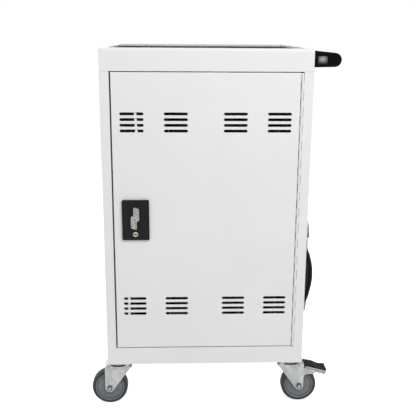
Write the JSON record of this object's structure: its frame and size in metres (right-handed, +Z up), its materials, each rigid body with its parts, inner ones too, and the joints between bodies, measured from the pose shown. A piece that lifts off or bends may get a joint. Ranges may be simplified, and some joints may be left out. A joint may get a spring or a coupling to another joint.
{
  "type": "laptop charging cart",
  "caption": "White steel cabinet on swivel casters with vented doors, a turn-knob rod lock, device slots behind the front door, a charger bay at the rear, a pull handle and a wound mains cord.",
  "frame": {"origin": "on the floor under the middle of the cart's box, measured without the cord", "axes": "+Z up; front door towards -Y; pull handle and cord on the +X side"},
  "size_m": [0.672, 0.5518, 0.9915],
  "materials": {
    "white_steel": "fine powder coat",
    "zinc_steel": "zinc plated",
    "satin_steel": "satin nickel",
    "brass": "satin",
    "black_plastic": "satin",
    "black_rubber": "matt",
    "grey_tread": "matt",
    "grey_plastic": "matt"
  },
  "bodies": {
    "cabinet": {"top_cover": "white_steel", "left_side_panel": "white_steel", "right_side_panel": "white_steel", "base_pan": "white_steel", "partition_panel": "white_steel", "lower_shelf": "white_steel", "upper_shelf": "white_steel", "front_frame": "white_steel", "rear_frame": "white_steel", "front_hinge_frame_leaf": "white_steel", "rear_hinge_frame_leaf": "white_steel", "front_hinge_pin": "zinc_steel", "rear_hinge_pin": "zinc_steel", "upper_cord_hook": "zinc_steel", "lower_cord_hook": "zinc_steel", "front_left_caster_plate": "zinc_steel", "front_right_caster_plate": "zinc_steel", "rear_left_caster_plate": "zinc_steel", "rear_right_caster_plate": "zinc_steel", "lower_power_strip": "black_plastic", "upper_power_strip": "black_plastic", "handle_front_bracket": "black_plastic", "handle_rear_bracket": "black_plastic", "cord_gland": "black_plastic", "top_mat": "black_rubber", "handle_grip": "black_rubber", "cord_lead": "black_rubber", "cord_hank": "black_rubber", "cord_plug": "black_rubber"},
    "front_door": {"front_door": "white_steel", "front_hinge_door_leaf": "white_steel", "lock_plate": "black_plastic"},
    "lock_spindle": {"turn_knob": "satin_steel", "lock_cam": "zinc_steel"},
    "upper_rod": {"upper_lock_rod": "zinc_steel"},
    "lower_rod": {"lower_lock_rod": "zinc_steel"},
    "key": {"key_cylinder": "brass"},
    "rear_door": {"rear_door": "white_steel", "rear_hinge_door_leaf": "white_steel"},
    "rear_lock": {"rear_lock": "satin_steel"},
    "front_left_swivel": {"front_left_caster_fork": "zinc_steel", "front_left_caster_axle": "zinc_steel"},
    "front_left_wheel": {"front_left_caster_hub": "grey_plastic", "front_left_caster_tyre": "grey_tread"},
    "front_right_swivel": {"front_right_caster_fork": "zinc_steel", "front_right_caster_axle": "zinc_steel"},
    "front_right_wheel": {"front_right_caster_hub": "grey_plastic", "front_right_caster_tyre": "grey_tread"},
    "rear_left_swivel": {"rear_left_caster_fork": "zinc_steel", "rear_left_caster_axle": "zinc_steel"},
    "rear_left_wheel": {"rear_left_caster_hub": "grey_plastic", "rear_left_caster_tyre": "grey_tread"},
    "rear_right_swivel": {"rear_right_caster_fork": "zinc_steel", "rear_right_caster_axle": "zinc_steel"},
    "rear_right_wheel": {"rear_right_caster_hub": "grey_plastic", "rear_right_caster_tyre": "grey_tread"},
    "front_right_brake": {"front_right_brake_lever": "zinc_steel", "front_right_brake_pad": "black_rubber"},
    "rear_right_brake": {"rear_right_brake_lever": "zinc_steel", "rear_right_brake_pad": "black_rubber"}
  },
  "joints": [
    {"name": "front_door_hinge", "type": "hinge", "parent": "cabinet", "child": "front_door", "pos_m": [0.22546, -0.2598, 0.559], "axis": [0, 0, 1], "range_deg": [0, 180]},
    {"name": "rear_door_hinge", "type": "hinge", "parent": "cabinet", "child": "rear_door", "pos_m": [-0.25854, 0.2722, 0.559], "axis": [0, 0, 1], "range_deg": [0, 180]},
    {"name": "knob_turn", "type": "hinge", "parent": "front_door", "child": "lock_spindle", "pos_m": [-0.20254, -0.261, 0.5575], "axis": [0, 1, 0], "range_deg": [-90, 0]},
    {"name": "upper_rod_pivot", "type": "hinge", "parent": "lock_spindle", "child": "upper_rod", "pos_m": [-0.18454, -0.248, 0.5575], "axis": [0, 1, 0], "range_deg": [0, 93]},
    {"name": "lower_rod_pivot", "type": "hinge", "parent": "lock_spindle", "child": "lower_rod", "pos_m": [-0.22054, -0.248, 0.5575], "axis": [0, 1, 0], "range_deg": [0, 93]},
    {"name": "key_turn", "type": "hinge", "parent": "front_door", "child": "key", "pos_m": [-0.20254, -0.258, 0.5125], "axis": [0, 1, 0], "range_deg": [0, 90]},
    {"name": "rear_lock_turn", "type": "hinge", "parent": "rear_door", "child": "rear_lock", "pos_m": [0.19946, 0.26, 0.559], "axis": [0, -1, 0], "range_deg": [0, 90]},
    {"name": "front_left_swivel_turn", "type": "hinge", "parent": "cabinet", "child": "front_left_swivel", "pos_m": [-0.25904, -0.2148, 0.117], "axis": [0, 0, 1], "continuous": true},
    {"name": "front_left_wheel_roll", "type": "hinge", "parent": "front_left_swivel", "child": "front_left_wheel", "pos_m": [-0.28604, -0.2148, 0.05], "axis": [0, 1, 0], "continuous": true},
    {"name": "front_right_swivel_turn", "type": "hinge", "parent": "cabinet", "child": "front_right_swivel", "pos_m": [0.22596, -0.2148, 0.117], "axis": [0, 0, 1], "continuous": true},
    {"name": "front_right_wheel_roll", "type": "hinge", "parent": "front_right_swivel", "child": "front_right_wheel", "pos_m": [0.25296, -0.2148, 0.05], "axis": [0, 1, 0], "continuous": true},
    {"name": "rear_left_swivel_turn", "type": "hinge", "parent": "cabinet", "child": "rear_left_swivel", "pos_m": [-0.25904, 0.2272, 0.117], "axis": [0, 0, 1], "continuous": true},
    {"name": "rear_left_wheel_roll", "type": "hinge", "parent": "rear_left_swivel", "child": "rear_left_wheel", "pos_m": [-0.28604, 0.2272, 0.05], "axis": [0, 1, 0], "continuous": true},
    {"name": "rear_right_swivel_turn", "type": "hinge", "parent": "cabinet", "child": "rear_right_swivel", "pos_m": [0.22596, 0.2272, 0.117], "axis": [0, 0, 1], "continuous": true},
    {"name": "rear_right_wheel_roll", "type": "hinge", "parent": "rear_right_swivel", "child": "rear_right_wheel", "pos_m": [0.25296, 0.2272, 0.05], "axis": [0, 1, 0], "continuous": true},
    {"name": "front_right_brake_press", "type": "hinge", "parent": "front_right_swivel", "child": "front_right_brake", "pos_m": [0.29196, -0.2148, 0.092], "axis": [0, 1, 0], "range_deg": [0, 10]},
    {"name": "rear_right_brake_press", "type": "hinge", "parent": "rear_right_swivel", "child": "rear_right_brake", "pos_m": [0.29196, 0.2272, 0.092], "axis": [0, 1, 0], "range_deg": [0, 10]}
  ],
  "couplings": [
    {"joint": "upper_rod_pivot", "follows": "knob_turn", "ratio": -1.0306},
    {"joint": "lower_rod_pivot", "follows": "knob_turn", "ratio": -1.0329}
  ]
}
